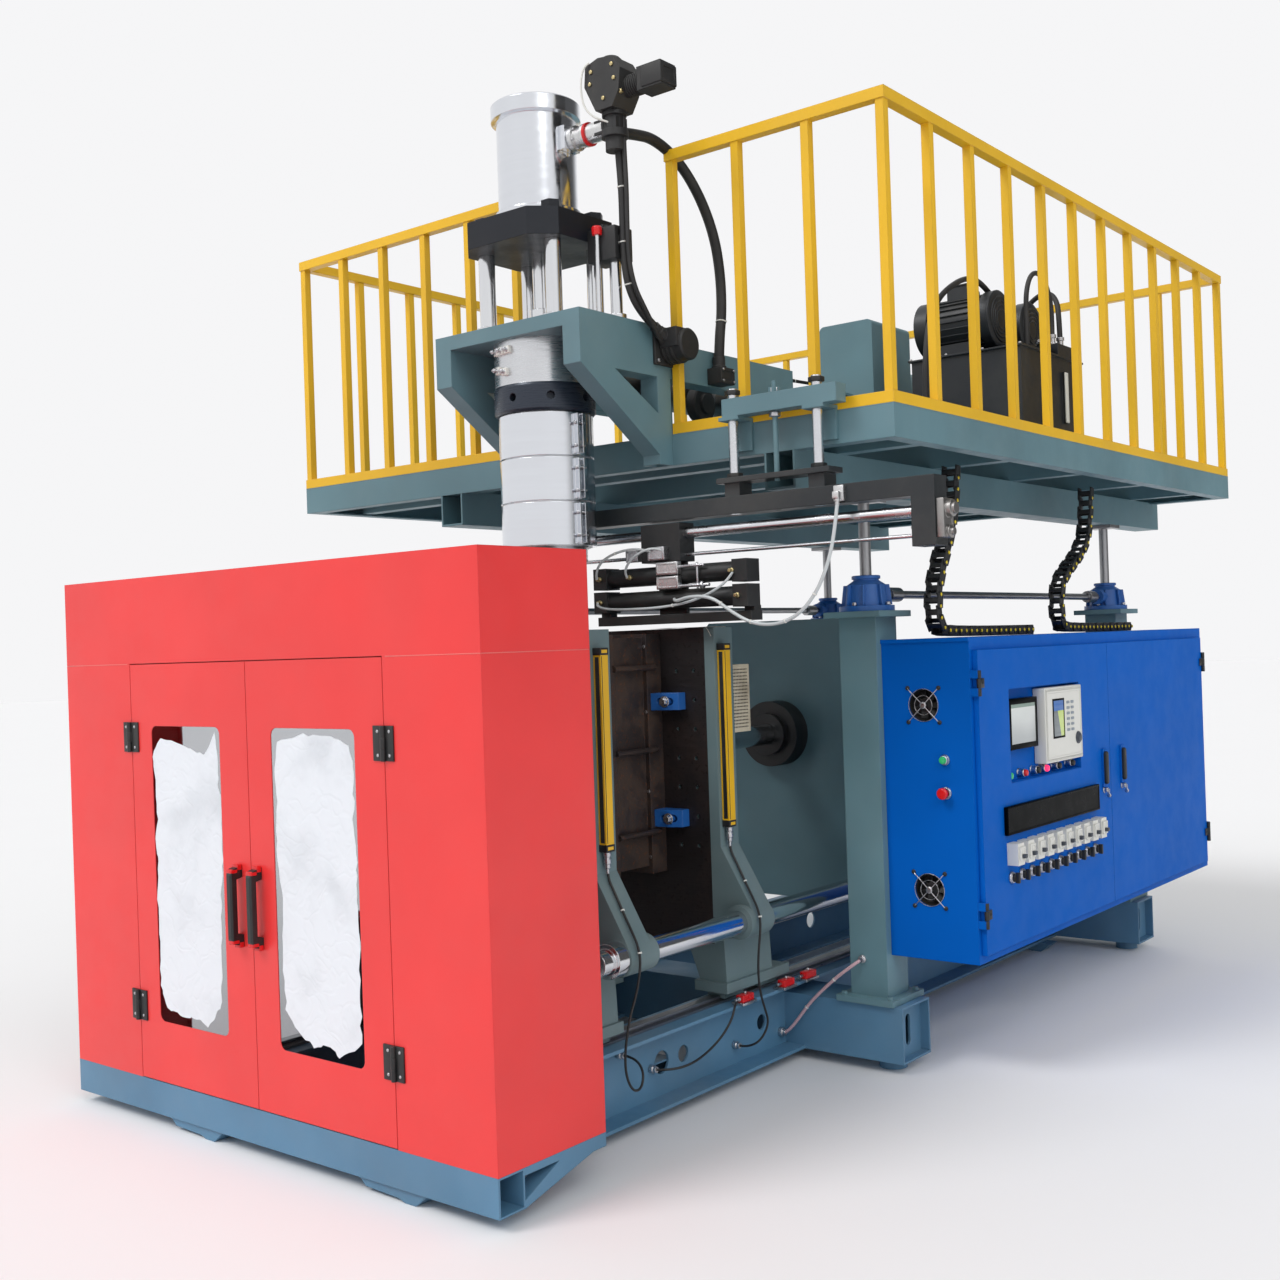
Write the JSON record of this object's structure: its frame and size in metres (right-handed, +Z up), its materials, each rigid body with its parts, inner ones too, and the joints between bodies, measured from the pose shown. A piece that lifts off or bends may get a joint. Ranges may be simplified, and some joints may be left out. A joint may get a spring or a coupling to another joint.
{
  "type": "blow moulding machine",
  "caption": "Extrusion blow moulding machine: red guard, clamp with mould on slide rails, screw-jacked platform with accumulator head, extruder, oil unit, take-out arm and blue control cabinet.",
  "frame": {"origin": "on the floor, at the centre of the rectangle of the four anchor holes", "axes": "+X to the right of a person who faces the red guard, +Y to the rear, +Z up"},
  "size_m": [3.09, 4.844, 3.52],
  "materials": {
    "base_grey": "semi-gloss blue-grey paint",
    "frame_green": "semi-gloss grey-green paint",
    "guard_red": "gloss red paint",
    "rail_yellow": "gloss yellow paint",
    "cabinet_blue": "gloss blue paint",
    "jack_blue": "gloss dark blue paint",
    "unit_dark": "semi-gloss blue-black paint",
    "head_steel": "turned and brushed",
    "bar_chrome": "polished hard chrome",
    "bare_steel": "ground, slightly oily",
    "mould_iron": "machined with brown surface rust",
    "window_clear": "clear acrylic with a torn white film",
    "black_plastic": "matte",
    "pale_plastic": "satin",
    "signal_red": "gloss",
    "curtain_yellow": "satin",
    "black_metal": "satin black",
    "cast_black": "painted black"
  },
  "bodies": {
    "frame": {"base_frame": "base_grey", "levelling_feet": "base_grey", "slide_rails": "bare_steel", "columns": "frame_green", "screw_jacks": "jack_blue", "guard_shell": "guard_red", "guard_hinges": "black_metal", "cabinet_shell": "cabinet_blue", "fan_guards": "bare_steel", "sync_bracket": "base_grey"},
    "clamp_front": {"platen_front": "frame_green", "tie_bars": "bar_chrome", "cylinder_plate": "frame_green", "clamp_cylinder": "black_metal", "light_curtain_front": "curtain_yellow", "mould_front": "mould_iron"},
    "clamp_rear": {"platen_rear": "frame_green", "clamp_rod": "bar_chrome", "light_curtain_rear": "curtain_yellow", "mould_rear": "mould_iron", "mould_clamps": "jack_blue"},
    "pinion": {"sync_pinion": "bare_steel"},
    "door_left": {"guard_door_left": "guard_red", "guard_window_left": "window_clear", "guard_handle_left": "black_plastic"},
    "door_right": {"guard_door_right": "guard_red", "guard_window_right": "window_clear", "guard_handle_right": "black_plastic"},
    "cabinet_left": {"cabinet_door_left": "cabinet_blue", "control_panel": "pale_plastic", "control_row": "pale_plastic"},
    "cabinet_right": {"cabinet_door_right": "cabinet_blue"},
    "handle_left": {"cabinet_handle_left": "black_plastic"},
    "handle_right": {"cabinet_handle_right": "black_plastic"},
    "stop_button": {"emergency_stop": "signal_red"},
    "fan_low": {"fan_rotor_lower": "black_plastic"},
    "fan_high": {"fan_rotor_upper": "black_plastic"},
    "shaft_left": {"link_shaft_left": "bare_steel"},
    "shaft_right": {"link_shaft_right": "bare_steel"},
    "platform": {"platform_frame": "frame_green", "platform_deck": "frame_green", "handrail_left": "rail_yellow", "handrail_right": "rail_yellow", "head_bracket": "frame_green", "head_core": "head_steel", "heater_bands": "head_steel", "head_columns": "bar_chrome", "head_top_plate": "unit_dark", "injection_cylinder": "head_steel", "head_valve": "cast_black", "extruder": "bare_steel", "extruder_drive": "frame_green", "hydraulic_unit": "unit_dark", "pump_motors": "unit_dark", "jack_screws": "bare_steel", "takeout_crosshead": "frame_green", "energy_chains": "black_plastic"},
    "piston": {"head_piston": "bar_chrome"},
    "takeout": {"takeout_beam": "bar_chrome"},
    "carriage": {"takeout_carriage": "black_metal"}
  },
  "joints": [
    {"name": "clamp_front_slide", "type": "slide", "parent": "frame", "child": "clamp_front", "axis": [0, 1, 0], "range_m": [-0.2, 0]},
    {"name": "clamp_rear_slide", "type": "slide", "parent": "frame", "child": "clamp_rear", "axis": [0, 1, 0], "range_m": [0, 0.2]},
    {"name": "pinion_turn", "type": "hinge", "parent": "frame", "child": "pinion", "pos_m": [0, -1.985, 0.345], "axis": [0, 0, 1], "range_deg": [-239, 1]},
    {"name": "guard_left_hinge", "type": "hinge", "parent": "frame", "child": "door_left", "pos_m": [-0.9735, -3.048, 0.845], "axis": [0, 0, 1], "range_deg": [-105, 0]},
    {"name": "guard_right_hinge", "type": "hinge", "parent": "frame", "child": "door_right", "pos_m": [0.3085, -3.048, 0.845], "axis": [0, 0, 1], "range_deg": [0, 105]},
    {"name": "cabinet_left_hinge", "type": "hinge", "parent": "frame", "child": "cabinet_left", "pos_m": [1.226, -1.181, 0.97], "axis": [0, 0, 1], "range_deg": [-110, 0]},
    {"name": "cabinet_right_hinge", "type": "hinge", "parent": "frame", "child": "cabinet_right", "pos_m": [1.226, 1.194, 0.97], "axis": [0, 0, 1], "range_deg": [0, 110]},
    {"name": "handle_left_turn", "type": "hinge", "parent": "cabinet_left", "child": "handle_left", "pos_m": [1.22, -0.072, 1.04], "axis": [1, 0, 0], "range_deg": [0, 90]},
    {"name": "handle_right_turn", "type": "hinge", "parent": "cabinet_right", "child": "handle_right", "pos_m": [1.22, 0.124, 1.04], "axis": [1, 0, 0], "range_deg": [0, 90]},
    {"name": "stop_press", "type": "slide", "parent": "frame", "child": "stop_button", "axis": [0, 1, 0], "range_m": [0, 0.008]},
    {"name": "fan_low_spin", "type": "hinge", "parent": "frame", "child": "fan_low", "pos_m": [1.02, -1.17, 0.655], "axis": [0, 1, 0], "continuous": true},
    {"name": "fan_high_spin", "type": "hinge", "parent": "frame", "child": "fan_high", "pos_m": [1.02, -1.17, 1.302], "axis": [0, 1, 0], "continuous": true},
    {"name": "platform_lift", "type": "slide", "parent": "frame", "child": "platform", "axis": [0, 0, 1], "range_m": [0, 0.15], "deforming": ["energy_chains"]},
    {"name": "shaft_left_turn", "type": "hinge", "parent": "frame", "child": "shaft_left", "pos_m": [-0.785, 0, 1.702], "axis": [0, 1, 0], "range_deg": [-5, 2705]},
    {"name": "shaft_right_turn", "type": "hinge", "parent": "frame", "child": "shaft_right", "pos_m": [0.785, 0, 1.702], "axis": [0, 1, 0], "range_deg": [-5, 2705]},
    {"name": "piston_stroke", "type": "slide", "parent": "platform", "child": "piston", "axis": [0, 0, 1], "range_m": [0, 0.15]},
    {"name": "takeout_height", "type": "slide", "parent": "platform", "child": "takeout", "axis": [0, 0, 1], "range_m": [0, 0.1]},
    {"name": "takeout_travel", "type": "slide", "parent": "takeout", "child": "carriage", "axis": [1, 0, 0], "range_m": [-0.09, 0.55]}
  ],
  "couplings": [
    {"joint": "clamp_rear_slide", "follows": "clamp_front_slide", "ratio": -1},
    {"joint": "pinion_turn", "follows": "clamp_front_slide", "rad_per_m": 20.833},
    {"joint": "shaft_left_turn", "follows": "platform_lift", "rad_per_m": 314.16},
    {"joint": "shaft_right_turn", "follows": "platform_lift", "rad_per_m": 314.16}
  ]
}
